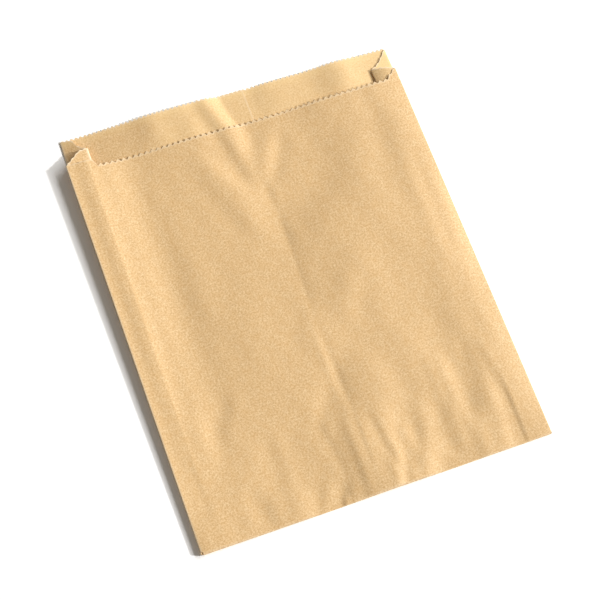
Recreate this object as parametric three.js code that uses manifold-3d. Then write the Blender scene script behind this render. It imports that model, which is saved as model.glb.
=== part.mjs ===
// Flat paper sandwich bag with a gusset in each side, lying on its back.
// Millimetres, +Z up: X runs across the bag, Y from the bottom fold to the mouth.
// The origin is on the surface it lies on, at the middle of its width and length.

import * as THREE from "three";
import Module from "manifold-3d";

// The sheet and the flat size of the bag.
const paper = 0.08;
const bagWidth = 165;
const bagLength = 205;
const gussetDepth = 11.5;
const creaseRadius = 0.16;

// The mouth: a toothed cut that steps down from the back lip over both gussets to the front lip.
// The steps of each gusset half are [share of the way in from the outer fold, drop below the back lip].
const frontDrop = 17.4;
const frontPitch = 2.8;
const frontTooth = 1.4;
const backPitch = 2.25;
const backTooth = 1;
const gussetTooth = 0.5;
const rightRear = [[0, 0], [0.2, 2.9], [0.6, 6.8], [1, 9.3]];
const rightFront = [[0, 13.4], [0.5, 10.6], [1, 9.3]];
const rightRamp = { start: 0, run: 6.3 };
const leftRear = [[0, 0], [0.48, 1.2], [0.56, 4], [0.75, 6.2], [1, 7.8]];
const leftFront = [[0, 14.2], [0.68, 8], [1, 7.8]];
const leftRamp = { start: 11.3, run: 2.4 };

// The glued laps: the seam along the back and the turned-up bottom.
const seamEdge = 9;
const seamLap = 12;
const seamEase = 10;
const turnUp = 25;

// How far the bag stands open as it lies: the height of each front side fold over the back one at the
// mouth, and the share of it that each inner fold takes.
// The crowns are how far the front panel stands over each front side fold, above the inner fold:
// they grow up from the bottom and round down to the fold as a power of the way out.
const leftOpening = 5.4;
const rightOpening = 4.6;
const leftInner = 0.3;
const rightInner = 0.12;
const leftCrown = 0.3;
const rightCrown = 1.5;
const crownGrowth = 56;
const crownPower = 3;
const middleGap = 0.5;
const bellyGap = 1.3;
const leftLobe = 32;
const rightLobe = 46;

// The wave that lifts the back panel towards its lip, left of the middle.
const curlRise = 2.8;
const curlLength = 90;
const curlPower = 1.5;
const curlCentre = -22;
const curlLeft = 45;
const curlRight = 24;

// How finely the sheet is divided: columns round the tube, rows up it, and the bottom edge.
const backColumns = 22;
const frontColumns = 34;
const gussetColumns = 3;
const foldColumns = 4;
const wallRows = 12;
const rowCrowding = 0.6;
const skirtDepth = 3;
const edgeColumns = 60;
const edgeTurns = 6;

const kraft = new THREE.MeshStandardMaterial({
  name: "kraft_paper",
  color: 0xe7c190,
  roughness: 0.9,
  metalness: 0,
});

// Every fold is a half turn of this middle radius, and three of them stack up at each side.
const foldRadius = creaseRadius + paper / 2;
const foldX = bagWidth / 2 - foldRadius - paper / 2;
const stackHeight = 6 * foldRadius + 3 * paper;
const backMiddle = 1.5 * paper;
const innerRun = bagWidth / 2 - gussetDepth;
const bottomClear = 0.3;
const bottomStart = (stackHeight + 2 * paper) / 2 + bottomClear;
const bottomLap = 0.4;
const seamStep = 0.02;

const smooth = (from, to, value) => THREE.MathUtils.smoothstep(value, from, to);
const blend = (a, b, part) => a + (b - a) * part;

// A line through points of [place, value], read at a place.
function along(points, place) {
  const next = Math.max(1, points.findIndex(([at]) => at >= place));
  const [a, low] = points[next - 1];
  const [b, high] = points[next];
  return blend(low, high, (place - a) / (b - a));
}

// Share of the way from the bottom to the front lip.
const upShare = (y) => THREE.MathUtils.clamp(y / (bagLength - frontDrop), 0, 1);

// The two sides: their mouth, and how far each stands open.
const right = {
  rear: rightRear,
  front: rightFront,
  ramp: rightRamp,
  opening: rightOpening,
  inner: rightInner,
  crown: rightCrown,
  lobe: rightLobe,
};
const left = {
  rear: leftRear,
  front: leftFront,
  ramp: leftRamp,
  opening: leftOpening,
  inner: leftInner,
  crown: leftCrown,
  lobe: leftLobe,
};
const sideAt = (x) => (x < 0 ? left : right);

// Height of a side's front fold over its back one.
const sideHeight = (side, y) => blend(stackHeight, Math.max(side.opening, stackHeight), upShare(y));

// The inner fold of a side's gusset: the front half is taut between it and the front fold.
function innerFold(side, y) {
  const height = sideHeight(side, y);
  const rise = stackHeight / 2 + side.inner * (height - stackHeight);
  const reach = Math.sqrt(gussetDepth ** 2 - (height - rise) ** 2);
  return { x: bagWidth / 2 - reach + foldRadius + paper / 2, z: backMiddle + rise };
}

// The back panel lies flat, but a wave lifts it towards its lip, left of the middle.
function backHeight(x, y) {
  const rise = Math.max(0, y - (bagLength - curlLength)) / curlLength;
  const away = x - curlCentre;
  const across = 1 - Math.abs(away) / (away < 0 ? curlLeft : curlRight);
  return backMiddle + curlRise * rise ** curlPower * smooth(0, 1, across);
}

// The front panel stands on the gussets at its sides and sinks towards the back in the middle.
// From above the inner fold it rounds down to the side fold.
function frontHeight(x, y) {
  const side = sideAt(x);
  const crown = side.crown * smooth(0, crownGrowth, y);
  const middle = middleGap + bellyGap * Math.sin(Math.PI * upShare(y)) ** 2;
  const reach = Math.abs(x);
  const outward = smooth(innerRun - side.lobe, innerRun, reach);
  const round = Math.max(0, (reach - innerRun) / (foldX - innerRun)) ** crownPower;
  return backHeight(x, y) + middle + (sideHeight(side, y) + crown - middle) * outward - crown * round;
}

// Points of the half turn about a centre, from one angle to another in degrees.
function turn(cx, cz, from, to, part) {
  const angle = THREE.MathUtils.degToRad(blend(from, to, part));
  return [cx + foldRadius * Math.cos(angle), cz + foldRadius * Math.sin(angle)];
}

// The folds and gusset halves of one side, from the back panel up to the front panel, as on the right.
function sideStrips(side) {
  const { rear, front } = side;
  const fold = { fold: true, tooth: gussetTooth };
  const half = { tooth: gussetTooth, pitch: frontPitch };
  return [
    {
      ...fold,
      cut: () => bagLength - along(rear, 0),
      at: (part) => turn(foldX, backMiddle + foldRadius, -90, 90, part),
    },
    {
      ...half,
      cut: (part) => bagLength - along(rear, part),
      at: (part, y) => {
        const inner = innerFold(side, y);
        const low = backMiddle + 2 * foldRadius;
        return [blend(foldX, inner.x, part), blend(low, inner.z - foldRadius, part)];
      },
    },
    {
      ...fold,
      cut: () => bagLength - along(rear, 1),
      at: (part, y) => turn(innerFold(side, y).x, innerFold(side, y).z, -90, -270, part),
    },
    {
      ...half,
      cut: (part) => bagLength - along(front, 1 - part),
      at: (part, y) => {
        const inner = innerFold(side, y);
        const high = backMiddle + sideHeight(side, y) - 2 * foldRadius;
        return [blend(inner.x, foldX, part), blend(inner.z + foldRadius, high, part)];
      },
    },
    {
      ...fold,
      cut: () => bagLength - along(front, 0),
      at: (part, y) => turn(foldX, backMiddle + sideHeight(side, y) - foldRadius, -90, 90, part),
    },
  ];
}

const rightSide = sideStrips(right);

// The left side is made as on the right, then mirrored and followed back down.
const leftSide = sideStrips(left).toReversed().map((strip) => ({
  ...strip,
  cut: (part) => strip.cut(1 - part),
  at: (part, y) => {
    const [x, z] = strip.at(1 - part, y);
    return [-x, z];
  },
}));

const backPanel = {
  tooth: backTooth,
  pitch: backPitch,
  cut: () => bagLength,
  at: (part, y) => {
    const x = blend(-foldX, foldX, part);
    return [x, backHeight(x, y)];
  },
};

// The front lip runs straight across and climbs a ramp to the height of each side fold.
const frontPanel = {
  tooth: frontTooth,
  pitch: frontPitch,
  cut: (part) => {
    const x = blend(foldX, -foldX, part);
    const { ramp, front } = sideAt(x);
    const climb = THREE.MathUtils.clamp(1 - (foldX - Math.abs(x) - ramp.start) / ramp.run, 0, 1);
    return bagLength - blend(frontDrop, along(front, 0), climb);
  },
  at: (part, y) => {
    const x = blend(foldX, -foldX, part);
    return [x, frontHeight(x, y)];
  },
};

// Once round the tube, looking along it from the bottom: back, right, front, left.
const strips = [backPanel, ...rightSide, frontPanel, ...leftSide];

// The seam: the sheet from the right runs under the sheet from the left and is glued to it.
// Gives how far the outer and inner faces lie from the middle of a single sheet.
function faces(strip, x) {
  const single = { out: paper / 2, into: paper / 2 };
  if (strip !== backPanel || x < seamEdge - seamLap) {
    return single;
  }
  if (x <= seamEdge) {
    return { out: single.out + paper, into: single.into };
  }
  const sunk = paper * Math.max(0, 1 - (x - seamEdge) / seamEase);
  return { out: single.out + sunk, into: single.into - sunk };
}

// A point of the tube wall on its outer and inner face.
function wall(strip, part, y) {
  const step = 1e-4;
  const [x, z] = strip.at(part, y);
  const [xa, za] = strip.at(part - step, y);
  const [xb, zb] = strip.at(part + step, y);
  const length = Math.hypot(xb - xa, zb - za);
  const nx = (zb - za) / length;
  const nz = -(xb - xa) / length;
  const { out, into } = faces(strip, x);
  return { outer: [x + nx * out, y, z + nz * out], inner: [x - nx * into, y, z - nz * into] };
}

// The columns of the wall once round the tube, each a strip and a place in it.
function wallColumns() {
  const counts = new Map([[backPanel, backColumns], [frontPanel, frontColumns]]);
  const columns = [];
  strips.forEach((strip, index) => {
    const count = counts.get(strip) ?? (strip.fold ? foldColumns : gussetColumns);
    const parts = Array.from({ length: count }, (_, i) => i / count);
    if (strip === backPanel) {
      const places = [seamEdge - seamLap, seamEdge, seamEdge + seamEase];
      const seam = places.map((x) => (x + foldX) / (2 * foldX));
      const sharp = seamStep / (2 * foldX);
      parts.push(seam[0] - sharp, seam[0], seam[1], seam[1] + sharp, seam[2]);
      parts.sort((a, b) => a - b);
    }
    for (const part of parts) {
      columns.push({ strip, part, at: index + part });
    }
  });
  return columns;
}

// The points of the toothed cut once round the tube: whole teeth on each strip, none on a fold.
function cutColumns() {
  const columns = [];
  strips.forEach((strip, index) => {
    if (strip.fold) {
      for (let i = 0; i < foldColumns; i += 1) {
        columns.push({ strip, part: i / foldColumns, at: index + i / foldColumns, tip: false });
      }
      return;
    }
    const [xa] = strip.at(0, 0);
    const [xb] = strip.at(1, 0);
    const teeth = Math.max(1, Math.round(Math.abs(xb - xa) / strip.pitch));
    for (let i = 0; i < 2 * teeth; i += 1) {
      columns.push({ strip, part: i / (2 * teeth), at: index + i / (2 * teeth), tip: i % 2 === 1 });
    }
  });
  return columns;
}

// Triangles between two closed rows of points that run the same way round, in order of their place.
function zip(lower, upper) {
  const triangles = [];
  let i = 0;
  let j = 0;
  while (i < lower.length || j < upper.length) {
    const a = lower[i % lower.length].id;
    const b = upper[j % upper.length].id;
    const nextLower = i < lower.length ? (lower[i + 1]?.at ?? strips.length) : Infinity;
    const nextUpper = j < upper.length ? (upper[j + 1]?.at ?? strips.length) : Infinity;
    if (nextLower <= nextUpper) {
      i += 1;
      triangles.push([a, lower[i % lower.length].id, b]);
    } else {
      j += 1;
      triangles.push([a, upper[j % upper.length].id, b]);
    }
  }
  return triangles;
}

// The folded tube with its wall, open at both ends. Its rows crowd towards the ends.
function foldedTube() {
  const points = [];
  const triangles = [];
  const addRow = (columns, height) => {
    const row = { outer: [], inner: [] };
    for (const column of columns) {
      const place = wall(column.strip, column.part, height(column));
      for (const face of ["outer", "inner"]) {
        row[face].push({ id: points.length, at: column.at });
        points.push(place[face]);
      }
    }
    return row;
  };
  const base = (column) => column.strip.cut(column.part) - column.strip.tooth;
  const columns = wallColumns();
  const grid = [];
  for (let r = 0; r <= wallRows; r += 1) {
    const part = r / wallRows - (rowCrowding * Math.sin((2 * Math.PI * r) / wallRows)) / (2 * Math.PI);
    grid.push(addRow(columns, (c) => blend(bottomStart, base(c) - skirtDepth, part)));
  }
  grid.push(addRow(cutColumns(), (c) => base(c) + (c.tip ? c.strip.tooth : 0)));
  for (let r = 0; r + 1 < grid.length; r += 1) {
    triangles.push(...zip(grid[r].outer, grid[r + 1].outer).map(([a, b, c]) => [a, c, b]));
    triangles.push(...zip(grid[r].inner, grid[r + 1].inner));
  }
  triangles.push(...zip(grid.at(-1).inner, grid.at(-1).outer));
  triangles.push(...zip(grid[0].outer, grid[0].inner));
  return { points, triangles };
}

// The bottom edge: the layers turned over together and pressed, rounded along the fold.
function bottomEdge() {
  const points = [];
  const triangles = [];
  const end = bottomStart + bottomLap;
  const size = edgeTurns + 3;
  for (let i = 0; i <= edgeColumns; i += 1) {
    const x = blend(-bagWidth / 2, bagWidth / 2, i / edgeColumns);
    const top = frontHeight(THREE.MathUtils.clamp(x, -foldX, foldX), bottomStart);
    points.push([x, end, 0]);
    for (let k = 0; k <= edgeTurns; k += 1) {
      const angle = (Math.PI * k) / edgeTurns;
      points.push([x, (top / 2) * (1 - Math.sin(angle)), (top / 2) * (1 - Math.cos(angle))]);
    }
    points.push([x, end, top]);
  }
  for (let i = 0; i < edgeColumns; i += 1) {
    for (let k = 0; k < size; k += 1) {
      const a = i * size + k;
      const b = i * size + ((k + 1) % size);
      triangles.push([a, a + size, b], [b, a + size, b + size]);
    }
  }
  const last = edgeColumns * size;
  for (let k = 1; k + 1 < size; k += 1) {
    triangles.push([0, k, k + 1], [last, last + k + 1, last + k]);
  }
  return { points, triangles };
}

// The turned-up end of the sheet, glued flat on the back, with its own toothed cut.
// It reaches up to the middle of the back sheet, so the two are one body.
function turnedUpFlap() {
  const outline = new THREE.Shape();
  const teeth = Math.max(1, Math.round(bagWidth / frontPitch));
  outline.moveTo(-bagWidth / 2, bottomStart);
  outline.lineTo(bagWidth / 2, bottomStart);
  for (let i = 2 * teeth; i >= 0; i -= 1) {
    const x = blend(-bagWidth / 2, bagWidth / 2, i / (2 * teeth));
    outline.lineTo(x, turnUp - (i % 2 ? 0 : frontTooth));
  }
  const plate = new THREE.ExtrudeGeometry(outline, { depth: backMiddle, bevelEnabled: false });
  const place = plate.getAttribute("position");
  const points = Array.from({ length: place.count }, (_, i) => {
    return [place.getX(i), place.getY(i), place.getZ(i)];
  });
  const triangles = Array.from({ length: place.count / 3 }, (_, i) => [3 * i, 3 * i + 1, 3 * i + 2]);
  return { points, triangles };
}

const { Manifold, Mesh } = await Module().then((wasm) => {
  wasm.setup();
  return wasm;
});

// One closed body from points and triangles.
function solid({ points, triangles }) {
  const mesh = new Mesh({
    numProp: 3,
    vertProperties: new Float32Array(points.flat()),
    triVerts: new Uint32Array(triangles.flat()),
  });
  mesh.merge();
  return new Manifold(mesh);
}

// The finished body as a mesh, moved so that the origin is at the middle of the length.
function paperBag() {
  const body = Manifold.union([foldedTube(), bottomEdge(), turnedUpFlap()].map(solid));
  const made = body.getMesh();
  const geometry = new THREE.BufferGeometry();
  geometry.setAttribute("position", new THREE.BufferAttribute(new Float32Array(made.vertProperties), 3));
  geometry.setIndex(new THREE.BufferAttribute(new Uint32Array(made.triVerts), 1));
  geometry.computeVertexNormals();
  const mesh = new THREE.Mesh(geometry, kraft);
  mesh.name = "paper_bag";
  mesh.position.y = -bagLength / 2;
  return mesh;
}

const part = new THREE.Group();
part.name = "paper_sandwich_bag";
part.add(paperBag());

export default part;
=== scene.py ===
"""A kraft paper sandwich bag, folded from one flat toothed sheet and laid on its back on a white table."""

import math
from collections import namedtuple

import bpy
import numpy as np
from mathutils import Matrix, Vector


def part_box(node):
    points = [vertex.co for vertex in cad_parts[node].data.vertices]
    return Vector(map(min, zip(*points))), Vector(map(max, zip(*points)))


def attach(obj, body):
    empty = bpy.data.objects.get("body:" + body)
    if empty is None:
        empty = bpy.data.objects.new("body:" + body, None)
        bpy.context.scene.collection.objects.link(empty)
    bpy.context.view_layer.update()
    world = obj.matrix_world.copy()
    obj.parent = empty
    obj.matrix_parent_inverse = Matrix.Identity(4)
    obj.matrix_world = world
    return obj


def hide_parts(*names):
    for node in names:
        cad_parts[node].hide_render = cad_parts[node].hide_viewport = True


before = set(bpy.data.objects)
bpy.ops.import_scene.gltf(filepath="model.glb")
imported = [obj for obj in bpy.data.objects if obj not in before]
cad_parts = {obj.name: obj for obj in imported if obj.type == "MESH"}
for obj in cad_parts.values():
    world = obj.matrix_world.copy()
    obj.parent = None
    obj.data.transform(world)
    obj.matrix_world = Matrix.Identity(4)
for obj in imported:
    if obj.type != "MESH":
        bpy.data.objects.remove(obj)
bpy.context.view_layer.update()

bl_info = {
    "name": "Paper Sandwich Bag",
    "version": (1, 0, 0),
    "blender": (4, 5, 0),
    "location": "3D View > Sidebar > Paper Bag",
    "description": "Folds a kraft paper sandwich bag from one sheet and lights it on a white table",
    "category": "Object",
}

MM = 0.001
BAG_NODE = "paper_bag"
LOW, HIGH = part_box(BAG_NODE)

# Columns across the flat sheet and rows along it: the front panel is divided finest, for its creases,
# and the rows of the walls crowd towards the bottom fold and the mouth.
FRONT_COLUMNS_PER_TOOTH = 4
OTHER_COLUMNS_PER_TOOTH = 2
FOLD_COLUMNS = 4
FLAP_ROWS = 10
ARC_ROWS = 6
WALL_ROWS = 92
ROW_CROWDING = 0.45

# The strip of the sheet that turns under at the bottom.
FRONT = "front_panel"

# The mouth's cut over a side: for each gusset half, points of (share of the way in from the outer fold,
# mm below the back lip), and for the front lip's ramp, where it starts and how far it runs, in mm in
# from the side fold.
SideCut = namedtuple("SideCut", "rear front ramp")

RIGHT_CUT = SideCut(
    rear=((0.0, 0.6), (0.19, 2.8), (0.41, 5.5), (0.67, 7.9), (1.0, 9.5)),
    front=((0.0, 12.4), (0.5, 10.6), (1.0, 9.5)),
    ramp=(0.0, 6.3),
)
LEFT_CUT = SideCut(
    rear=((0.0, 0.0), (0.48, 1.2), (0.56, 4.0), (0.75, 6.2), (1.0, 7.8)),
    front=((0.0, 14.4), (0.66, 8.2), (1.0, 7.9)),
    ramp=(11.8, 2.3),
)

# A crease is a straight soft line in the sheet, from its lower to its upper end, in mm from the bag's
# left side and up from the bottom fold, with its width and height in mm. A ridge is a rounded bump
# along the line, a roll is low on the left and high on the right of it, or the other way with a
# negative height, and a bank starts sharply at the line and dies away slowly on its right.
Crease = namedtuple("Crease", "kind start end width height")

FRONT_CREASES = (
    # The panel falls from the left gusset into a long valley and rises again.
    Crease("bank", (10, 30), (10, 240), 11, -1.05),
    Crease("roll", (9, 40), (9, 240), 2.4, -0.17),
    Crease("ridge", (29, 35), (27.5, 240), 9, -0.9),
    Crease("roll", (13, 50), (13, 240), 2.5, -0.14),
    Crease("roll", (18, 60), (18, 240), 5, -0.12),
    Crease("roll", (19, 32), (20, 62), 4, -0.2),
    Crease("roll", (43, 98), (43, 158), 6, -0.2),
    Crease("roll", (40, 58), (40, 92), 6, -0.12),
    Crease("roll", (10.5, 8), (9, 44), 2, 0.06),
    # The rounded crown over the right gusset.
    Crease("roll", (153, 90), (153.5, 152), 3.5, -0.2),
    Crease("roll", (154, 48), (154, 86), 4, 0.1),
    Crease("roll", (149, 148), (147.5, 196), 4.5, 0.15),
    # The star of creases under the lip, left by opening the bag.
    Crease("roll", (78, 150), (59.5, 182), 3.5, -0.22),
    Crease("roll", (86, 155), (100, 180), 3.2, -0.26),
    Crease("roll", (83.3, 170), (82.2, 205), 4.6, -0.85),
    Crease("roll", (83, 148), (83, 172), 4, -0.12),
    Crease("roll", (86.5, 141), (86, 157), 2, 0.1),
    Crease("roll", (79.5, 157), (71, 192), 2.6, 0.15),
    Crease("roll", (91, 165), (91, 200), 4, -0.18),
    Crease("roll", (95, 160), (96, 200), 10, -0.35),
    Crease("roll", (78, 134), (78, 160), 7, -0.2),
    Crease("roll", (72, 130), (57, 168), 5, 0.22),
    # The broad swell of the lip right of the star.
    Crease("ridge", (132, 172), (132, 206), 28, 1.0),
    Crease("roll", (109, 160), (109, 190), 6, -0.15),
    # The fold line down the middle, with the right half standing higher.
    Crease("bank", (83.2, 84), (85.8, 142), 30, 1.6),
    Crease("roll", (86.5, 122), (87.2, 138), 3, 0.09),
    Crease("bank", (84, 30), (84.5, 66), 14, 0.65),
    Crease("roll", (81.8, 46), (82, 80), 1.7, -0.11),
    # Soft waves and diagonals across the panel.
    Crease("roll", (92, 122), (122, 154), 8, 0.3),
    Crease("roll", (136, 112), (136, 168), 8, -0.3),
    Crease("roll", (117, 62), (119, 112), 8, -0.27),
    Crease("roll", (99, 78), (110, 101), 5, -0.27),
    Crease("roll", (72, 70), (80, 92), 4, 0.12),
    Crease("roll", (66, 39), (93, 75), 5, -0.15),
    Crease("roll", (24, 43), (36, 64), 3.5, 0.2),
    Crease("roll", (105, 18), (106, 62), 7, -0.45),
    Crease("roll", (121, 8), (120.5, 68), 7, -0.5),
    Crease("roll", (130.5, 34), (130, 72), 6, -0.25),
    Crease("roll", (143, 50), (142, 104), 7, 0.18),
    # Puckers above the bottom fold, towards the left side.
    Crease("roll", (28, -16), (28, 48), 14, 0.25),
    Crease("roll", (20.5, -12), (20.5, 12), 6, 0.22),
    Crease("roll", (33, -14), (33, 18), 9, 0.44),
    Crease("roll", (27, 5), (27, 22), 3, -0.12),
    Crease("roll", (35, 0), (35, 16), 3, 0.13),
    Crease("roll", (42, -6), (43.5, 40), 4, 0.14),
    Crease("roll", (46, 8), (46, 44), 3, 0.1),
    Crease("roll", (48.5, -6), (55, 13), 3, -0.07),
    Crease("roll", (53, -4), (61.5, 14), 2, 0.08),
    Crease("roll", (54, 8), (54, 40), 7, 0.28),
    # The swell above the bottom fold in the middle, and the puckers left of it.
    Crease("ridge", (87, -20), (87, 42), 13, 1.5),
    Crease("ridge", (66, -10), (66, 16), 9, 0.28),
    Crease("roll", (80, -14), (80, 24), 12, 0.22),
    Crease("roll", (76, -10), (75, 44), 6, 0.3),
    Crease("roll", (60.2, -6), (72.2, 10), 3, 0.3),
    Crease("roll", (63.5, -6), (67, 5), 1.2, 0.2),
    Crease("roll", (64, 6), (64.5, 46), 7, 0.36),
    Crease("roll", (66.5, 30), (75, 46), 2.5, 0.12),
    Crease("roll", (70.3, -8), (70.3, 9), 2.5, 0.15),
    Crease("roll", (73.5, 2), (69, 40), 2, 0.09),
    Crease("roll", (75.5, 16), (75.5, 46), 3, 0.1),
    Crease("roll", (76.3, -4), (76.3, 18), 2.4, 0.11),
    Crease("roll", (78.3, 2), (78, 36), 1.6, 0.08),
    Crease("roll", (80.5, 36), (77, 54), 3, 0.11),
    Crease("roll", (84.2, 14), (84, 36), 1, 0.06),
    # Puckers above the bottom fold, right of the swell.
    Crease("roll", (91.8, -6), (98.4, 18), 2.5, -0.38),
    Crease("roll", (92.5, 6), (92.7, 17), 1.6, -0.12),
    Crease("roll", (94, 10), (91.2, 36), 2, 0.18),
    Crease("roll", (97.5, 16), (99.4, 38), 3, -0.13),
    Crease("roll", (99, -4), (101.8, 18), 2.5, -0.2),
    Crease("roll", (104.7, 10), (104.7, 26), 2.5, -0.2),
    Crease("roll", (110, 16), (110, 34), 2.5, 0.04),
    Crease("roll", (102.2, -8), (113, 12), 4.5, -0.36),
    Crease("roll", (112.2, 10), (118, 34), 4.5, -0.36),
    Crease("roll", (112, -14), (114, 16), 8, -0.55),
    Crease("roll", (125.7, -6), (115.7, 14), 3.5, -0.22),
    # Puckers above the bottom fold, towards the right side.
    Crease("roll", (125.3, 8), (125.3, 56), 2, -0.08),
    Crease("roll", (127.6, 10), (127.8, 28), 1.5, -0.07),
    Crease("roll", (128.5, -6), (128.5, 16), 4, -0.3),
    Crease("roll", (131.5, 14), (131.5, 52), 4, -0.34),
    Crease("roll", (132, 4), (132, 54), 6, -0.22),
    Crease("roll", (135.3, -8), (135.3, 17), 3, -0.17),
    Crease("roll", (137, 17), (147, 54), 4, 0.2),
    Crease("roll", (140, -12), (139, 21), 5, -0.35),
    Crease("roll", (140.5, -4), (140.5, 54), 4, -0.17),
    Crease("roll", (141, 40), (144, 56), 2, 0.05),
    Crease("roll", (144.5, -6), (144.5, 13), 3, -0.16),
    Crease("roll", (147.5, -4), (147.5, 32), 3.5, -0.4),
    Crease("roll", (152.6, 16), (149, 52), 2, 0.1),
    Crease("roll", (153.1, -6), (152.9, 33), 1, 0.1),
)

BACK_CREASES = (
    # The crease through both panels at the mouth, and the waves of the lip.
    Crease("roll", (84.5, 180), (74.5, 208), 5, -0.9),
    Crease("roll", (87, 180), (85, 212), 6, -0.28),
    Crease("roll", (75.5, 178), (67, 212), 4, 0.4),
    Crease("ridge", (44, 186), (43, 225), 8, 0.8),
    Crease("ridge", (65, 186), (64, 225), 9, 0.4),
    Crease("ridge", (138, 184), (139, 222), 10, 1.8),
    Crease("ridge", (108, 186), (108, 222), 12, 0.6),
)

# Soft cockle all over the sheet: (wavelength in mm, direction in degrees, height in mm).
COCKLE = ((31, 12, 0.05), (23, 158, 0.04), (14, 80, 0.02), (11, 25, 0.018), (8.3, 140, 0.012))


def length(name, description, millimetres):
    """A size in metres with its default written in millimetres."""
    return bpy.props.FloatProperty(
        name=name, description=description, default=millimetres * MM, unit="LENGTH", precision=5
    )


def share(name, description, default):
    """A plain share of something."""
    return bpy.props.FloatProperty(
        name=name, description=description, default=default, subtype="FACTOR", min=0.0, max=2.0
    )


def angle(name, description, degrees):
    """An angle with its default written in degrees."""
    return bpy.props.FloatProperty(
        name=name, description=description, default=math.radians(degrees), subtype="ANGLE"
    )


def linear(hexadecimal):
    """The linear colour of an sRGB hex value."""
    channels = [int(hexadecimal[i:i + 2], 16) / 255 for i in (1, 3, 5)]
    return [c / 12.92 if c <= 0.04045 else ((c + 0.055) / 1.055) ** 2.4 for c in channels]


def colour(name, description, hexadecimal):
    """A colour with its default written as an sRGB hex value."""
    return bpy.props.FloatVectorProperty(
        name=name, description=description, default=linear(hexadecimal), subtype="COLOR", size=3,
        min=0.0, max=1.0,
    )


class BagSizes(bpy.types.PropertyGroup):
    """Sizes of the sheet, its cuts and folds, and how far the bag stands open."""

    width: length("Width", "Across the flat bag", (HIGH.x - LOW.x) / MM)
    length: length("Length", "From the bottom fold to the back lip", (HIGH.y - LOW.y) / MM)
    paper: length("Paper", "Thickness of the sheet", 0.08)
    gusset: length("Gusset", "Depth of a side gusset", 11.5)
    left_gusset: length("Left gusset", "Depth of the left gusset as it was folded", 12.6)
    right_gusset: length("Right gusset", "Depth of the right gusset as it was folded", 11.3)
    crease: length("Crease", "Inner radius of every fold", 0.16)
    front_drop: length("Front drop", "How far the front lip lies below the back lip", 17.4)
    front_pitch: length("Front pitch", "Width of one tooth of the front lip", 2.8)
    front_tooth: length("Front tooth", "Depth of one tooth of the front lip", 1.4)
    back_pitch: length("Back pitch", "Width of one tooth of the back lip", 2.25)
    back_tooth: length("Back tooth", "Depth of one tooth of the back lip", 1.0)
    gusset_tooth: length("Gusset tooth", "Depth of one tooth of the cut over the gussets", 0.5)
    seam_edge: length("Seam edge", "Inner edge of the back seam, right of the middle", 9)
    seam_lap: length("Seam lap", "How far the two edges of the sheet lap", 12)
    seam_ease: length("Seam ease", "How far the under sheet takes to rise beside the lap", 10)
    turn_up: length("Turn-up", "Height of the bottom flap glued on the back", 25)
    left_opening: length("Left opening", "Height of the left side fold at the mouth", 4.7)
    left_foot: length("Left foot", "Height of the left side fold at the bottom", 2.2)
    right_opening: length("Right opening", "Height of the right side fold at the mouth", 2.6)
    left_round: length("Left round", "Rise of the front over the left side fold at the bottom", 0.4)
    left_draw: length("Left draw", "How far the back's left fold is drawn in at the mouth", 1.3)
    right_draw: length("Right draw", "How far the back's right fold is drawn in at the mouth", 0.5)
    right_bulge: length("Right bulge", "Rise of the right gusset's front half at the mouth", 0.7)
    left_crown: length("Left crown", "Rise of the front over the left side fold", -0.6)
    right_crown: length("Right crown", "Rise of the front over the right side fold", 0.97)
    crown_growth: length("Crown growth", "Height over which the crowns grow", 26)
    lip_gap: length("Lip gap", "Further height of the front at its lip", 0.5)
    middle_gap: length("Middle gap", "Height of the front over the back at both ends", 0.5)
    belly_gap: length("Belly gap", "Further height of the front half way up", 1.3)
    left_lobe: length("Left lobe", "Width over which the front falls from the left gusset", 32)
    right_lobe: length("Right lobe", "Width over which the front falls from the right gusset", 60)
    curl_rise: length("Curl rise", "Height of the wave in the back lip", 2.4)
    curl_length: length("Curl length", "How far down the back the wave reaches", 90)
    curl_centre: length("Curl centre", "Place of the wave, from the middle", -22)
    curl_left: length("Curl left", "Reach of the wave to the left", 54)
    curl_right: length("Curl right", "Reach of the wave to the right", 24)
    left_inner: share("Left inner", "Share of the left opening that its inner fold takes", 0.6)
    right_inner: share("Right inner", "Share of the right opening that its inner fold takes", 0.28)


class BagColours(bpy.types.PropertyGroup):
    """Colours of the kraft paper, with the painted highlight on its edges and the painted light in its
    mouth.
    """

    pale_fibre: colour("Pale fibre", "Fibres that lie on top", "#F8D7A5")
    dark_fibre: colour("Dark fibre", "Hollows between the fibres", "#CEA670")
    thick_pulp: colour("Thick pulp", "Clouds where the pulp settled thicker", "#D4A562")
    # Pale cut fibre together with a painted highlight where cuts and folds catch the light.
    cut_edge_and_highlight: colour("Cut edge", "Torn fibres along cuts and worn folds", "#FFECCC")
    # Painted light: a paler colour that brightens the inside of the mouth, most in its right corner.
    painted_light_fibre: colour("Rubbed fibre", "The inside of the mouth, rubbed smooth", "#FFDDA0")


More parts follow.
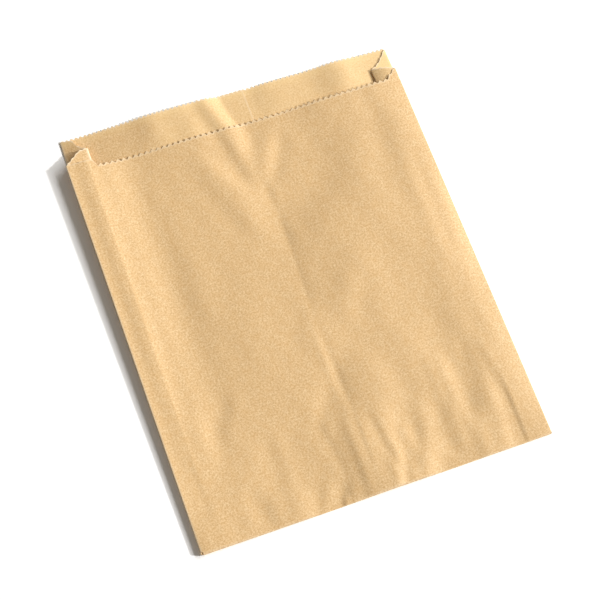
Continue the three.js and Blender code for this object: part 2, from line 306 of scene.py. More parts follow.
class BagStage(bpy.types.PropertyGroup):
    """The table, the lamps and the camera."""

    table: colour("Table", "The white table top", "#FFFFFF")
    room: colour("Room", "The soft light from all round, warmed by the room", "#FFF6E8")
    glow: share("Glow", "How much brighter the camera sees the table than it is", 1.22)
    main_distance: length("Main distance", "How far off the broad main lamp hangs", 1500)
    main_elevation: angle("Main elevation", "Height of the main lamp over the table", 38.8)
    main_azimuth: angle("Main azimuth", "Turn of the main lamp from the bag's right to its bottom", -8)
    main_breadth: angle("Main breadth", "How broad the main lamp looks from the bag", 70)
    main_height: angle("Main height", "How tall the main lamp looks from the bag", 13)
    main_share: share("Main share", "Share of the table's light from the main lamp", 0.4)
    key_elevation: angle("Key elevation", "Height of the small, far key lamp over the table", 26.5)
    key_azimuth: angle("Key azimuth", "Turn of the key lamp from the bag's right to its bottom", 18)
    key_breadth: angle("Key breadth", "How broad the key lamp looks from the bag", 4)
    key_share: share("Key share", "Share of the table's light from the key lamp", 0.4)
    fill_share: share("Fill share", "Share of the table's light from all round", 0.2)
    lens: bpy.props.FloatProperty(
        name="Lens", description="Focal length on a sensor 36 mm wide, in mm", default=94.34,
    )
    camera_place: bpy.props.FloatVectorProperty(
        name="Camera place", description="Where the camera stands", subtype="TRANSLATION", unit="LENGTH",
        default=(-0.14005, -0.22055, 0.66659), precision=5,
    )
    camera_target: bpy.props.FloatVectorProperty(
        name="Camera target", description="The point of the table that the camera looks at",
        subtype="TRANSLATION", unit="LENGTH", default=(-0.00204, -0.00666, 0.0), precision=5,
    )
    camera_roll: angle("Camera roll", "Turn of the camera about its own axis", 13.3)


def smooth(start, end, value):
    """A soft step from 0 at start to 1 at end."""
    part = np.clip((value - start) / (end - start), 0, 1)
    return part * part * (3 - 2 * part)


def blend(first, last, part):
    """The value part of the way from first to last."""
    return first + (last - first) * part


CREASE_PROFILES = {
    "ridge": lambda off: np.exp(-off * off),
    "roll": lambda off: off * np.exp((1 - off * off) / 2),
    "bank": lambda off: np.where(off > 0, off * np.exp(1 - off), 0),
}

# Share of a crease's length over which it grows from nothing at each end. A third of that lies beyond
# the end.
CREASE_FADE = 0.45


def crease_relief(creases, x, y):
    """Height that a list of creases adds, at places in mm from the left side and the bottom fold."""
    relief = np.zeros(np.broadcast(x, y).shape)
    for crease in creases:
        (ax, ay), (bx, by) = crease.start, crease.end
        reach = math.hypot(bx - ax, by - ay)
        ux, uy = (bx - ax) / reach, (by - ay) / reach
        along = ((x - ax) * ux + (y - ay) * uy) / reach
        off = ((x - ax) * uy - (y - ay) * ux) / crease.width
        from_start = smooth(0, CREASE_FADE, along + CREASE_FADE / 3)
        from_end = smooth(0, CREASE_FADE, 1 - along + CREASE_FADE / 3)
        relief += crease.height * from_start * from_end * CREASE_PROFILES[crease.kind](off)
    for wavelength, direction, height in COCKLE:
        turn = math.radians(direction)
        relief += height * np.sin(2 * math.pi * (x * math.cos(turn) + y * math.sin(turn)) / wavelength)
    return relief


# Powers of the fall from each crown to its side fold.
LEFT_ROUNDING = 3
RIGHT_ROUNDING = 2

# Share of the way up where the front's lip starts to lift, and how far the right crown is pressed there.
LIP_START = 0.86
LIP_PRESSING = 0.7

# How far the front lip's teeth are pressed flat at the top of its ramps.
RAMP_FLATTENING = 0.7

# How far below the back lip the back folds start to be drawn in, and how sharply the back's wave grows.
DRAW_REACH = 40 * MM
CURL_POWER = 1.5

# Width beside the side folds over which the creases die out.
CREASE_FREE_EDGE = 8 * MM

# Makes a bulge that is highest half way out, part (1 - part), one high.
BULGE_SHAPE = 4

# How far above the bottom fold's turn the panels take their own form, and how many sheets the layers
# inside that fold keep clear of it.
TURN_CLEARANCE = 0.3 * MM
CLEAR_SHEETS = 2.5

# How far painted light brightens the inside of the mouth: all over but for the left end, more in the right
# corner, and along the back lip. Each pair says where that starts and where it is full, across from the
# middle or down from the back lip.
PAINTED_LIGHT_INSIDE = 0.2
PAINTED_LIGHT_INSIDE_ACROSS = (-45 * MM, -30 * MM)
PAINTED_LIGHT_CORNER = 0.18
PAINTED_LIGHT_CORNER_ACROSS = (50 * MM, 66 * MM)
PAINTED_LIGHT_DOWN = (45 * MM, 20 * MM)
PAINTED_LIGHT_LIP = 0.25
PAINTED_LIGHT_LIP_DOWN = (6 * MM, 1 * MM)

# One side of the bag: heights of its front fold at the bottom and at the mouth, the share of that rise
# that its inner fold takes, the gusset's depth, how far its back fold is drawn in, and how far its front
# half bulges.
Side = namedtuple("Side", "foot opening inner depth draw bulge")


class BagForm:
    """The folded form of the sheet: Y runs up from the bottom fold, X from the middle, Z from the table."""

    def __init__(self, sizes):
        self.s = sizes
        self.fold_radius = sizes.crease + sizes.paper / 2
        self.fold_x = sizes.width / 2 - self.fold_radius - sizes.paper / 2
        # The back lies on the glued flap, and a gusset pressed flat is three folds high.
        self.back_middle = 1.5 * sizes.paper
        pressed = 3 * (2 * self.fold_radius + sizes.paper)
        self.inner_run = sizes.width / 2 - sizes.gusset
        self.left = Side(
            foot=sizes.left_foot, opening=sizes.left_opening, inner=sizes.left_inner,
            depth=sizes.left_gusset, draw=sizes.left_draw, bulge=0.0,
        )
        self.right = Side(
            foot=pressed, opening=sizes.right_opening, inner=sizes.right_inner,
            depth=sizes.right_gusset, draw=sizes.right_draw, bulge=sizes.right_bulge,
        )
        self.wall_start = self.left.foot / 2 + sizes.paper + TURN_CLEARANCE

    def relief(self, creases, x, y):
        """A panel's creases in metres, dying out towards the side folds."""
        edge = np.clip(1 - (self.fold_x - np.abs(x)) / CREASE_FREE_EDGE, 0, 1)
        return crease_relief(creases, (x + self.s.width / 2) / MM, y / MM) * MM * (1 - edge ** 2)

    def up_share(self, y):
        """Share of the way from the bottom to the front lip."""
        return np.clip(y / (self.s.length - self.s.front_drop), 0, 1)

    def side_height(self, side, y):
        """Height of a side's front fold over its back one."""
        return blend(side.foot, side.opening, self.up_share(y))

    def back_fold_x(self, side, y):
        """Place of a side's back fold, which is drawn in towards the mouth."""
        return self.fold_x - side.draw * smooth(self.s.length - DRAW_REACH, self.s.length, y)

    def inner_fold(self, side, y):
        """Place of a gusset's inner fold: the front half is taut between it and the front fold."""
        height = self.side_height(side, y)
        rise = side.foot / 2 + side.inner * (height - side.foot)
        reach = np.sqrt(side.depth ** 2 - (height - rise) ** 2)
        return self.s.width / 2 - reach + self.fold_radius + self.s.paper / 2, self.back_middle + rise

    def layer_start(self, x, z):
        """Where a layer inside the bottom fold starts: just clear of the fold at the layer's height."""
        foot = np.where(x < 0, self.left.foot, self.right.foot)
        radius = (self.back_middle + foot - self.s.paper / 2) / 2
        level = np.clip((z - self.s.paper / 2) / radius - 1, -1, 1)
        return radius * (1 - np.sqrt(1 - level ** 2)) + CLEAR_SHEETS * self.s.paper

    def back_wave(self, x, y):
        """The back panel's height without its creases."""
        rise = np.clip((y - (self.s.length - self.s.curl_length)) / self.s.curl_length, 0, None)
        away = x - self.s.curl_centre
        across = 1 - np.abs(away) / np.where(away < 0, self.s.curl_left, self.s.curl_right)
        return self.back_middle + self.s.curl_rise * rise ** CURL_POWER * smooth(0, 1, across)

    def back_height(self, x, y):
        """The back panel lies flat, but a wave lifts it towards its lip, left of the middle."""
        creased = self.back_wave(x, y) + self.relief(BACK_CREASES, x, y)
        return np.maximum(creased, self.back_middle)

    def front_height(self, x, y):
        """The front panel stands on the gussets at its sides and sinks towards the back in the middle."""
        y = np.maximum(y, self.wall_start)
        up = self.up_share(y)
        at_lip = smooth(LIP_START, 1, up)
        lobe = np.where(x < 0, self.s.left_lobe, self.s.right_lobe)
        grown = smooth(0, self.s.crown_growth, y)
        crown = np.where(
            x < 0, blend(self.s.left_round, self.s.left_crown, grown),
            self.s.right_crown * grown * (1 - LIP_PRESSING * at_lip),
        )
        side = np.where(x < 0, self.side_height(self.left, y), self.side_height(self.right, y))
        belly = self.s.belly_gap * np.sin(math.pi * up) ** 2
        middle = self.s.middle_gap + belly + self.s.lip_gap * at_lip
        reach = np.abs(x)
        outward = smooth(self.inner_run - lobe, self.inner_run, reach)
        over = np.clip((reach - self.inner_run) / (self.fold_x - self.inner_run), 0, None)
        fall = crown * over ** np.where(x < 0, LEFT_ROUNDING, RIGHT_ROUNDING)
        plain = self.back_wave(x, y) + middle + (side + crown - middle) * outward - fall
        lowest = self.back_height(x, y) + 2 * self.s.paper
        return np.maximum(plain + self.relief(FRONT_CREASES, x, y), lowest)

    def painted_light_mask(self, x, y):
        """How far painted light brightens the inside of the mouth, most in the right corner."""
        drop = self.s.length - y
        inside = PAINTED_LIGHT_INSIDE * smooth(*PAINTED_LIGHT_INSIDE_ACROSS, x) + PAINTED_LIGHT_CORNER * smooth(*PAINTED_LIGHT_CORNER_ACROSS, x)
        return inside * smooth(*PAINTED_LIGHT_DOWN, drop) + PAINTED_LIGHT_LIP * smooth(*PAINTED_LIGHT_LIP_DOWN, drop)

    def turn(self, x, z, start, end, part):
        """Points of a fold about a centre, from one angle to another in degrees."""
        turned = np.radians(blend(start, end, part))
        return x + self.fold_radius * np.cos(turned), z + self.fold_radius * np.sin(turned)

    def back_cut(self, part):
        """The back lip runs straight across."""
        return np.full_like(part, self.s.length)

    def front_climb(self, part):
        """Places along the front lip, and how far it has climbed its ramp to a side fold there."""
        x = blend(self.fold_x, -self.fold_x, part)
        start, run = (np.where(x < 0, a, b) * MM for a, b in zip(LEFT_CUT.ramp, RIGHT_CUT.ramp))
        return x, np.clip(1 - (self.fold_x - np.abs(x) - start) / run, 0, 1)

    def front_cut(self, part):
        """The front lip runs straight across and climbs a ramp to the height of each side fold."""
        x, climb = self.front_climb(part)
        corner = np.where(x < 0, LEFT_CUT.front[0][1], RIGHT_CUT.front[0][1]) * MM
        return self.s.length - blend(self.s.front_drop, corner, climb)

    def front_teeth(self, part):
        """Depth of the front lip's teeth, which are pressed flat on its ramps."""
        return self.s.front_tooth * (1 - RAMP_FLATTENING * self.front_climb(part)[1])

    def side_cut(self, points, part):
        """The cut over a gusset half, through its points."""
        shares, drops = zip(*points)
        return self.s.length - np.interp(part, shares, drops) * MM


# A strip of the sheet is a panel, a gusset half or a fold: its name, its width on the flat sheet and the
# width of its teeth, none for a fold. Then come functions of the share of the way across it: the depth
# of its teeth, its cut, and its place, which also takes how far up the bag it is.
Strip = namedtuple("Strip", "name flat pitch tooth cut place")

# How far the sheet takes to rise over the edge of another.
EDGE_EASE = 6 * MM


def lap_lift(form, x, y):
    """How far the bottom flap pushes up the back seam where it runs over it."""
    s = form.s
    start, end = s.seam_edge - s.seam_lap, s.seam_edge + s.seam_ease
    over = smooth(s.turn_up + EDGE_EASE, s.turn_up, y)
    lap = smooth(start - EDGE_EASE, start, x) * smooth(end + EDGE_EASE, end, x)
    return s.paper * over * lap


def side_strips(form, cut, side):
    """The folds and gusset halves of one side, from the back panel up to the front, as on the right."""
    r, low = form.fold_radius, form.back_middle

    def back_fold(part, y):
        return form.turn(form.back_fold_x(side, y), low + r, -90, 90, part)

    def rear_half(part, y):
        inner_x, inner_z = form.inner_fold(side, y)
        return blend(form.back_fold_x(side, y), inner_x, part), blend(low + 2 * r, inner_z - r, part)

    def inner_fold(part, y):
        return form.turn(*form.inner_fold(side, y), -90, -270, part)

    def front_half(part, y):
        inner_x, inner_z = form.inner_fold(side, y)
        high = low + form.side_height(side, y) - 2 * r
        bulge = BULGE_SHAPE * side.bulge * form.up_share(y) ** 2 * part * (1 - part)
        return blend(inner_x, form.fold_x, part), blend(inner_z + r, high, part) + bulge

    def front_fold(part, y):
        return form.turn(form.fold_x, low + form.side_height(side, y) - r, -90, 90, part)

    def cut_through(points, start, end):
        """The cut along a strip that runs between two shares of the way in."""
        return lambda part: form.side_cut(points, blend(start, end, part))

    fold = {"flat": math.pi * r, "pitch": None, "tooth": lambda part: form.s.gusset_tooth}
    half = {"flat": side.depth, "pitch": form.s.front_pitch, "tooth": lambda part: form.s.gusset_tooth}
    return [
        Strip("back_fold", **fold, cut=cut_through(cut.rear, 0, 0), place=back_fold),
        Strip("rear_half", **half, cut=cut_through(cut.rear, 0, 1), place=rear_half),
        Strip("inner_fold", **fold, cut=cut_through(cut.rear, 1, 1), place=inner_fold),
        Strip("front_half", **half, cut=cut_through(cut.front, 1, 0), place=front_half),
        Strip("front_fold", **fold, cut=cut_through(cut.front, 0, 0), place=front_fold),
    ]


def mirrored(strip):
    """A strip of the right side as it is on the left, followed the other way round."""
    def place(part, y):
        x, z = strip.place(1 - part, y)
        return -x, z

    return strip._replace(cut=lambda part: strip.cut(1 - part), place=place)


def sheet_strips(form):
    """The strips of the sheet from its outer lap edge, once round the bag, to its inner lap edge."""
    s = form.s
    outer = s.seam_edge - s.seam_lap

    def back_right(part, y):
        x = blend(outer, form.back_fold_x(form.right, y), part)
        sunk = s.paper * np.clip(1 - (x - s.seam_edge) / s.seam_ease, 0, 1)
        return x, form.back_height(x, y) - sunk + lap_lift(form, x, y)

    def front_panel(part, y):
        x = blend(form.fold_x, -form.fold_x, part)
        return x, form.front_height(x, y)

    def back_left(part, y):
        x = blend(-form.back_fold_x(form.left, y), s.seam_edge, part)
        return x, form.back_height(x, y) + lap_lift(form, x, y)

    right = side_strips(form, RIGHT_CUT, form.right)
    left = [mirrored(strip) for strip in reversed(side_strips(form, LEFT_CUT, form.left))]
    back = {"pitch": s.back_pitch, "tooth": lambda part: s.back_tooth, "cut": form.back_cut}
    front = {"pitch": s.front_pitch, "tooth": form.front_teeth, "cut": form.front_cut}
    return [
        Strip("back_right", flat=form.fold_x - outer, **back, place=back_right),
        *right,
        Strip(FRONT, flat=2 * form.fold_x, **front, place=front_panel),
        *left,
        Strip("back_left", flat=form.fold_x + s.seam_edge, **back, place=back_left),
    ]


# The sheet's points by row and column: in space, on the flat sheet, how much pale worn fibre and painted
# highlight they take, how far painted light brightens them, and if they are kept.
SheetGrid = namedtuple("SheetGrid", "points flat wear rub kept")

# How far the last row before the toothed edge lies below the valleys of the teeth.
TOOTH_FOOT = 0.5 * MM

# How much of the mouth's painted light each strip of its inside takes.
PAINTED_LIGHT_STRIPS = {"back_left": 1.0, "back_right": 1.0, "back_fold": 1.5, "rear_half": 1.8, "front_half": 0.7}

# How pale the sheet is along the cuts over the gussets, the lips, the folds and the edge of the lap: partly
# worn fibre, partly a painted highlight where these edges catch the light.
CUT_WEAR_AND_HIGHLIGHT = 1.0
LIP_WEAR_AND_HIGHLIGHT = 0.5
FOLD_WEAR_AND_HIGHLIGHT = 0.5
# The inner fold takes the most painted highlight, for its rounded edge faces the light.
INNER_FOLD_WEAR_AND_HIGHLIGHT = 0.8
BOTTOM_FOLD_WEAR_AND_HIGHLIGHT = 0.2
LAP_WEAR_AND_HIGHLIGHT = 0.4


def sheet_columns(strips):
    """Each strip with its columns: the share of the way across, the height in a tooth, the flat place."""
    columns = []
    across = 0.0
    for strip in strips:
        teeth = max(1, round(strip.flat / strip.pitch)) if strip.pitch else 0
        per_tooth = FRONT_COLUMNS_PER_TOOTH if strip.name == FRONT else OTHER_COLUMNS_PER_TOOTH
        count = per_tooth * teeth if teeth else FOLD_COLUMNS
        last = 1 if strip is strips[-1] else 0
        part = np.arange(count + last) / count
        tooth = 1 - np.abs(2 * (part * teeth % 1) - 1) if teeth else 0 * part
        columns.append((strip, part, tooth, across + part * strip.flat))
        across += strip.flat
    return columns


def strip_rows(form, strip, part, tooth):
    """A strip's points from the flap's end to the mouth: their X, Y, Z, and Y on the flat sheet."""
    s = form.s
    depth = strip.tooth(part)
    valley = strip.cut(part) - depth
    edge = valley + tooth * depth
    # The bottom fold's radius at each column follows the height of the front panel there.
    foot_x, top = np.broadcast_arrays(*strip.place(part, form.wall_start + 0 * part))
    radius = (top - s.paper / 2) / 2
    start = radius + s.paper / 2 if strip.name == FRONT else form.layer_start(foot_x, top)
    rise = np.linspace(0, 1, WALL_ROWS - 1)[:, None]
    rise = rise - ROW_CROWDING * np.sin(2 * math.pi * rise) / (2 * math.pi)
    wall_y = np.vstack([start + (valley - TOOTH_FOOT - start) * rise, edge])
    wall_x, wall_z, _ = np.broadcast_arrays(*strip.place(part, wall_y), wall_y)
    # The flap runs from its toothed end down to the bottom fold, and the arc turns up to the wall.
    flap_end = s.turn_up - (1 - tooth) * s.front_tooth
    flap_y = blend(flap_end, start, np.linspace(0, 1, FLAP_ROWS, endpoint=False)[:, None])
    turned = np.linspace(-math.pi / 2, math.pi / 2, ARC_ROWS, endpoint=False)[:, None]
    arc_y = start - radius * np.cos(turned)
    arc_z = s.paper / 2 + radius * (1 + np.sin(turned))
    x = np.vstack([np.repeat(wall_x[:1], FLAP_ROWS + ARC_ROWS, 0), wall_x])
    y = np.vstack([flap_y, arc_y, wall_y])
    z = np.vstack([0 * flap_y + s.paper / 2, arc_z, wall_z])
    flat_y = np.vstack([-flap_y, 0 * arc_y, wall_y]) + s.turn_up
    return x, y, z, flat_y


def strip_wear_and_highlight(strip, shape):
    """Worn fibre and painted highlight on a strip: along its ends, at the bottom fold, and all along a
    fold.
    """
    worn_and_highlighted = np.zeros(shape)
    worn_and_highlighted[0] = LIP_WEAR_AND_HIGHLIGHT
    worn_and_highlighted[FLAP_ROWS:FLAP_ROWS + ARC_ROWS] = BOTTOM_FOLD_WEAR_AND_HIGHLIGHT
    worn_and_highlighted[-1] = CUT_WEAR_AND_HIGHLIGHT if strip.name.endswith("half") else LIP_WEAR_AND_HIGHLIGHT
    if not strip.pitch:
        worn_and_highlighted = np.maximum(worn_and_highlighted, INNER_FOLD_WEAR_AND_HIGHLIGHT if strip.name == "inner_fold" else FOLD_WEAR_AND_HIGHLIGHT)
    return worn_and_highlighted


def lay_out(form):
    """The whole sheet, with its flap and bottom fold kept under the front panel alone."""
    grids = []
    for strip, part, tooth, flat_x in sheet_columns(sheet_strips(form)):
        x, y, z, flat_y = strip_rows(form, strip, part, tooth)
        kept = np.ones(y.shape, bool)
        kept[:FLAP_ROWS + ARC_ROWS] = strip.name == FRONT
        grids.append(SheetGrid(
            points=np.stack([x, y - form.s.length / 2, z], -1),
            flat=np.stack([flat_x + 0 * flat_y, flat_y], -1),
            wear=strip_wear_and_highlight(strip, y.shape),
            # Painted light that brightens the inside of the mouth.
            rub=form.painted_light_mask(x, y) * PAINTED_LIGHT_STRIPS.get(strip.name, 0.0),
            kept=kept,
        ))
    sheet = SheetGrid(*(np.concatenate(each, 1) for each in zip(*grids)))
    # The lap's two edges get pale cut fibre with a painted highlight.
    sheet.wear[:, [0, -1]] = LAP_WEAR_AND_HIGHLIGHT
    return sheet


def add_node(tree, kind, settings=(), **inputs):
    """A new node with its settings, and its inputs set to values or linked to other nodes' sockets.

    An input goes by its name, or by its place where several share a name: i6 is the seventh socket.
    """
    node = tree.nodes.new(kind)
    for name, value in dict(settings).items():
        setattr(node, name, value)
    for name, value in inputs.items():
        socket = node.inputs[int(name[1:])] if name[0] == "i" and name[1:].isdigit() else node.inputs[name]
        if isinstance(value, bpy.types.NodeSocket):
            tree.links.new(value, socket)
        else:
            socket.default_value = value
    return node


# Sizes in mm. Real fibres are 0.03 mm wide: their felt is drawn 0.85 mm coarse, so that it shows, and
# their relief is as high as one fibre. Clouds in the pulp are a few millimetres wide.
FIBRE_WIDTH = 0.03
FELT_SIZE = 0.85
CLOUD_SIZE = 3.5


def kraft_paper(colours, flat_size):
    """Unbleached kraft paper, machine made and unglazed, with a felt of fibres.

    To the eye it is an even tan with a slight sheen, a fine pale and dark speckle, faint clouds where the
    pulp settled thicker, paler fibre with a painted highlight along the cuts and the worn folds, and
    painted light inside the mouth.
    """
    material = bpy.data.materials.new("kraft_paper")
    material.use_nodes = True
    tree = material.node_tree
    tree.nodes.clear()
    sheet = add_node(tree, "ShaderNodeUVMap", {"uv_map": "flat_sheet"})
    places = add_node(
        tree, "ShaderNodeMapping", Vector=sheet.outputs["UV"], Scale=(*(side / MM for side in flat_size), 1)
    )
    flat = {"noise_dimensions": "2D"}
    felt = add_node(
        tree, "ShaderNodeTexNoise", flat, Vector=places.outputs["Vector"],
        Scale=1 / FELT_SIZE, Detail=2, Roughness=0.9,
    )
    clouds = add_node(
        tree, "ShaderNodeTexNoise", flat, Vector=places.outputs["Vector"],
        Scale=1 / CLOUD_SIZE, Detail=2, Roughness=0.6,
    )
    worn_and_highlighted = add_node(tree, "ShaderNodeAttribute", {"attribute_name": "wear"})
    painted_light_mask = add_node(tree, "ShaderNodeAttribute", {"attribute_name": "rub"})
    fine = add_node(
        tree, "ShaderNodeMapRange", Value=felt.outputs["Fac"], **{"From Min": 0.31, "From Max": 0.69}
    )
    thick = add_node(
        tree, "ShaderNodeMapRange", Value=clouds.outputs["Fac"],
        **{"From Min": 0.3, "From Max": 0.7, "To Min": 0.0, "To Max": 0.28},
    )
    mixing = {"data_type": "RGBA", "clamp_factor": True}
    speckled = add_node(
        tree, "ShaderNodeMix", mixing,
        i0=fine.outputs["Result"], i6=(*colours.dark_fibre, 1), i7=(*colours.pale_fibre, 1),
    )
    cloudy = add_node(
        tree, "ShaderNodeMix", mixing,
        i0=thick.outputs["Result"], i6=speckled.outputs[2], i7=(*colours.thick_pulp, 1),
    )
    # Mixes in the painted light inside the mouth.
    with_painted_light = add_node(
        tree, "ShaderNodeMix", mixing,
        i0=painted_light_mask.outputs["Fac"], i6=cloudy.outputs[2], i7=(*colours.painted_light_fibre, 1),
    )
    # Mixes in pale cut fibre with a painted highlight along cuts, folds and the lap's edges.
    with_wear_and_highlight = add_node(
        tree, "ShaderNodeMix", mixing,
        i0=worn_and_highlighted.outputs["Fac"], i6=with_painted_light.outputs[2], i7=(*colours.cut_edge_and_highlight, 1),
    )
    bump = add_node(
        tree, "ShaderNodeBump", Strength=0.6, Distance=FIBRE_WIDTH * MM, Height=felt.outputs["Fac"]
    )
    surface = add_node(
        tree, "ShaderNodeBsdfPrincipled", Roughness=0.6, IOR=1.5, Normal=bump.outputs["Normal"],
        **{"Base Color": with_wear_and_highlight.outputs[2], "Specular IOR Level": 0.5},
    )
    add_node(tree, "ShaderNodeOutputMaterial", Surface=surface.outputs["BSDF"])
    return material


# Edges of the mesh that turn more sharply than this are shaded sharp.
SHARP_TURN = math.radians(60)


class OBJECT_OT_fold_paper_bag(bpy.types.Operator):
    """Cuts the flat sheet from a grid and folds it into the bag, with its teeth, creases and puckers"""

    bl_idname = "object.fold_paper_bag"
    bl_label = "Fold Paper Bag"

    def execute(self, context):
        sizes, colours = context.scene.bag_sizes, context.scene.bag_colours
        grid = lay_out(BagForm(sizes))
        rows, columns = grid.kept.shape
        bpy.ops.object.select_all(action="DESELECT")
        bpy.ops.mesh.primitive_grid_add(x_subdivisions=columns - 1, y_subdivisions=rows - 1, size=2)
        bag = context.active_object
        bag.name = "folded_paper_bag"
        mesh = bag.data
        mesh.name = bag.name
        if len(mesh.vertices) != rows * columns:
            raise RuntimeError(f"the flat grid has {len(mesh.vertices)} points, not {rows * columns}")
        place = np.empty(3 * len(mesh.vertices))
        mesh.vertices.foreach_get("co", place)
        unit = (place.reshape(-1, 3) + 1) / 2
        column = np.rint(unit[:, 0] * (columns - 1)).astype(int)
        row = np.rint(unit[:, 1] * (rows - 1)).astype(int)

        mesh.vertices.foreach_set("co", grid.points[row, column].ravel())
        # Pale worn fibre with a painted highlight along the edges.
        worn_and_highlighted = mesh.attributes.new("wear", "FLOAT", "POINT")
        worn_and_highlighted.data.foreach_set("value", grid.wear[row, column])
        # Painted light that brightens the inside of the mouth.
        painted_light_mask = mesh.attributes.new("rub", "FLOAT", "POINT")
        painted_light_mask.data.foreach_set("value", grid.rub[row, column])
        low, high = grid.flat.min((0, 1)), grid.flat.max((0, 1))
        corner = np.empty(len(mesh.loops), int)
        mesh.loops.foreach_get("vertex_index", corner)
        flat_map = mesh.uv_layers.active
        flat_map.name = "flat_sheet"
        on_sheet = (grid.flat[row[corner], column[corner]] - low) / (high - low)
        flat_map.uv.foreach_set("vector", on_sheet.ravel())

        bpy.ops.object.mode_set(mode="EDIT")
        bpy.ops.mesh.select_all(action="DESELECT")
        bpy.ops.object.mode_set(mode="OBJECT")
        mesh.vertices.foreach_set("select", ~grid.kept[row, column])
        bpy.ops.object.mode_set(mode="EDIT")
        bpy.ops.mesh.delete(type="VERT")
        bpy.ops.mesh.select_all(action="SELECT")
        bpy.ops.mesh.normals_make_consistent(inside=False)
        bpy.ops.object.mode_set(mode="OBJECT")

        thick = bag.modifiers.new("paper", "SOLIDIFY")
        thick.thickness = sizes.paper
        thick.offset = 0
        bpy.ops.object.modifier_apply(modifier=thick.name)
        bpy.ops.object.shade_smooth_by_angle(angle=SHARP_TURN)

        mesh.materials.append(kraft_paper(colours, high - low))
        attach(bag, "root")
        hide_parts(BAG_NODE)
        # The flat cut is the tube, shorter in front than at the back, with the flap under the front alone.
        return {"FINISHED"}


# Side of the table top in metres, and the share of its light that it gives back to the bag.
TABLE_SIDE = 8
TABLE_WHITENESS = 0.9

# Width of the camera's sensor in mm, and how far off the key lamp hangs, which doesn't change its light.
SENSOR_WIDTH = 36
KEY_DISTANCE = 1.0


class SCENE_OT_set_bag_stage(bpy.types.Operator):
    """Lays the white table, hangs the lamps and stands the camera over the bag"""

    bl_idname = "scene.set_bag_stage"
    bl_label = "Set Table, Lamps and Camera"

    def execute(self, context):
        stage = context.scene.bag_stage
        context.scene.view_settings.view_transform = "Standard"
        bpy.ops.object.select_all(action="DESELECT")
        bpy.ops.mesh.primitive_plane_add(size=TABLE_SIDE, location=(0, 0, 0))
        table = context.active_object
        table.name = "table"
        table.data.materials.append(white_table(stage.table, stage.glow))
        hang_main_lamp(context, stage)
        hang_key_lamp(context, stage)
        context.scene.world = soft_room(stage.room, stage.fill_share)

        place, target = Vector(stage.camera_place), Vector(stage.camera_target)
        camera = bpy.data.cameras.new("camera")
        camera.lens = stage.lens
        camera.sensor_width = SENSOR_WIDTH
        holder = bpy.data.objects.new("camera", camera)
        context.collection.objects.link(holder)
        looking = (target - place).to_track_quat("-Z", "Y").to_matrix()
        turned = looking @ Matrix.Rotation(stage.camera_roll, 3, "Z")
        holder.matrix_world = Matrix.Translation(place) @ turned.to_4x4()
        context.scene.camera = holder
        return {"FINISHED"}


def hang(context, light, elevation, azimuth, distance):
    """Hangs a lamp at a distance in a direction from the bag, facing it."""
    across = math.cos(elevation)
    towards = Vector((across * math.cos(azimuth), -across * math.sin(azimuth), math.sin(elevation)))
    facing = (-towards).to_track_quat("-Z", "Y").to_matrix().to_4x4()
    holder = bpy.data.objects.new(light.name, light)
    holder.matrix_world = Matrix.Translation(towards * distance) @ facing
    context.collection.objects.link(holder)


def hang_main_lamp(context, stage):
    """A broad, low strip lamp that gives a white table its share of the light."""
    light = bpy.data.lights.new("main_lamp", "AREA")
    light.shape = "RECTANGLE"
    light.size = 2 * stage.main_distance * math.tan(stage.main_breadth / 2)
    light.size_y = 2 * stage.main_distance * math.tan(stage.main_height / 2)
    # The ends of the strip are further off and face away, so it gives less than a small lamp would.
    spread = 4 * math.tan(stage.main_breadth / 2) / (stage.main_breadth + math.sin(stage.main_breadth))
    facing = math.pi ** 2 * stage.main_distance ** 2 / math.sin(stage.main_elevation)
    light.energy = stage.main_share * facing * spread
    hang(context, light, stage.main_elevation, stage.main_azimuth, stage.main_distance)


def hang_key_lamp(context, stage):
    """A small, far lamp that gives a white table its share of the light."""
    light = bpy.data.lights.new("key_lamp", "SUN")
    light.energy = stage.key_share * math.pi / math.sin(stage.key_elevation)
    light.angle = stage.key_breadth
    hang(context, light, stage.key_elevation, stage.key_azimuth, KEY_DISTANCE)


def rays_that_show(tree):
    """A socket that is 1 on rays that show a surface: straight, mirrored or through something clear."""
    rays = add_node(tree, "ShaderNodeLightPath")
    mirrored_or_through = add_node(
        tree, "ShaderNodeMath", {"operation": "MAXIMUM"},
        i0=rays.outputs["Is Glossy Ray"], i1=rays.outputs["Is Transmission Ray"],
    )
    showing = add_node(
        tree, "ShaderNodeMath", {"operation": "MAXIMUM"},
        i0=rays.outputs["Is Camera Ray"], i1=mirrored_or_through.outputs["Value"],
    )
    return showing.outputs["Value"]


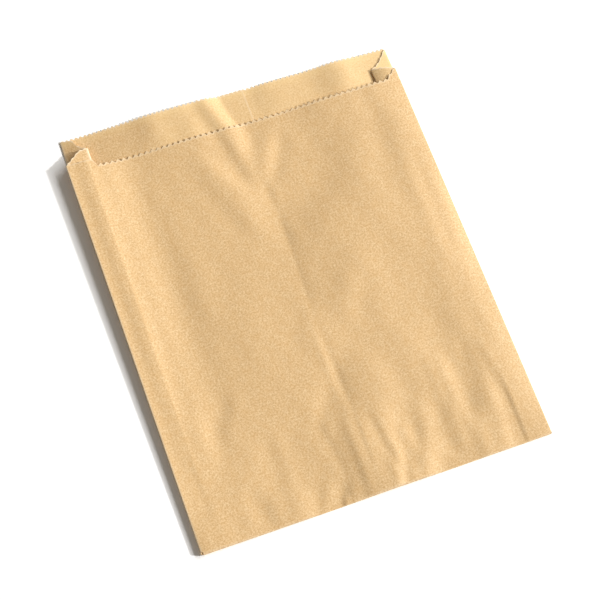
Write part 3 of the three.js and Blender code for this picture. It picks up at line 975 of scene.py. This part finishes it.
def white_table(top, glow):
    """White lacquered board: an even matt white with no pattern of its own.

    The camera sees it a little brighter than it lights the bag, so that it is white but for the shadow.
    """
    material = bpy.data.materials.new("white_lacquer")
    material.use_nodes = True
    tree = material.node_tree
    tree.nodes.clear()
    level = add_node(
        tree, "ShaderNodeMapRange", Value=rays_that_show(tree),
        **{"To Min": TABLE_WHITENESS, "To Max": glow},
    )
    shade = add_node(
        tree, "ShaderNodeVectorMath", {"operation": "SCALE"},
        Vector=tuple(top), Scale=level.outputs["Result"],
    )
    matt = add_node(tree, "ShaderNodeBsdfDiffuse", Color=shade.outputs["Vector"])
    add_node(tree, "ShaderNodeOutputMaterial", Surface=matt.outputs["BSDF"])
    return material


def soft_room(tint, fill):
    """Even light from all round, seen as white by the camera and in reflections."""
    world = bpy.data.worlds.new("soft_room")
    world.use_nodes = True
    tree = world.node_tree
    tree.nodes.clear()
    lit = add_node(tree, "ShaderNodeBackground", Color=(*tint, 1), Strength=fill)
    white = add_node(tree, "ShaderNodeBackground", Color=(1, 1, 1, 1), Strength=1.0)
    either = add_node(
        tree, "ShaderNodeMixShader",
        i0=rays_that_show(tree), i1=lit.outputs["Background"], i2=white.outputs["Background"],
    )
    add_node(tree, "ShaderNodeOutputWorld", Surface=either.outputs["Shader"])
    return world


class VIEW3D_PT_paper_bag(bpy.types.Panel):
    """Lists the bag's operators, sizes, colours and stage"""

    bl_label = "Paper Bag"
    bl_space_type = "VIEW_3D"
    bl_region_type = "UI"
    bl_category = "Paper Bag"

    def draw(self, context):
        layout = self.layout
        layout.operator(OBJECT_OT_fold_paper_bag.bl_idname)
        layout.operator(SCENE_OT_set_bag_stage.bl_idname)
        for group in (context.scene.bag_sizes, context.scene.bag_colours, context.scene.bag_stage):
            box = layout.box()
            for name in group.__annotations__:
                box.prop(group, name)


CLASSES = (
    BagSizes,
    BagColours,
    BagStage,
    OBJECT_OT_fold_paper_bag,
    SCENE_OT_set_bag_stage,
    VIEW3D_PT_paper_bag,
)


def register():
    for each in CLASSES:
        bpy.utils.register_class(each)
    bpy.types.Scene.bag_sizes = bpy.props.PointerProperty(type=BagSizes)
    bpy.types.Scene.bag_colours = bpy.props.PointerProperty(type=BagColours)
    bpy.types.Scene.bag_stage = bpy.props.PointerProperty(type=BagStage)


def unregister():
    del bpy.types.Scene.bag_stage
    del bpy.types.Scene.bag_colours
    del bpy.types.Scene.bag_sizes
    for each in reversed(CLASSES):
        bpy.utils.unregister_class(each)


def main():
    register()
    bpy.ops.object.fold_paper_bag()
    bpy.ops.scene.set_bag_stage()


if __name__ == "__main__":
    main()
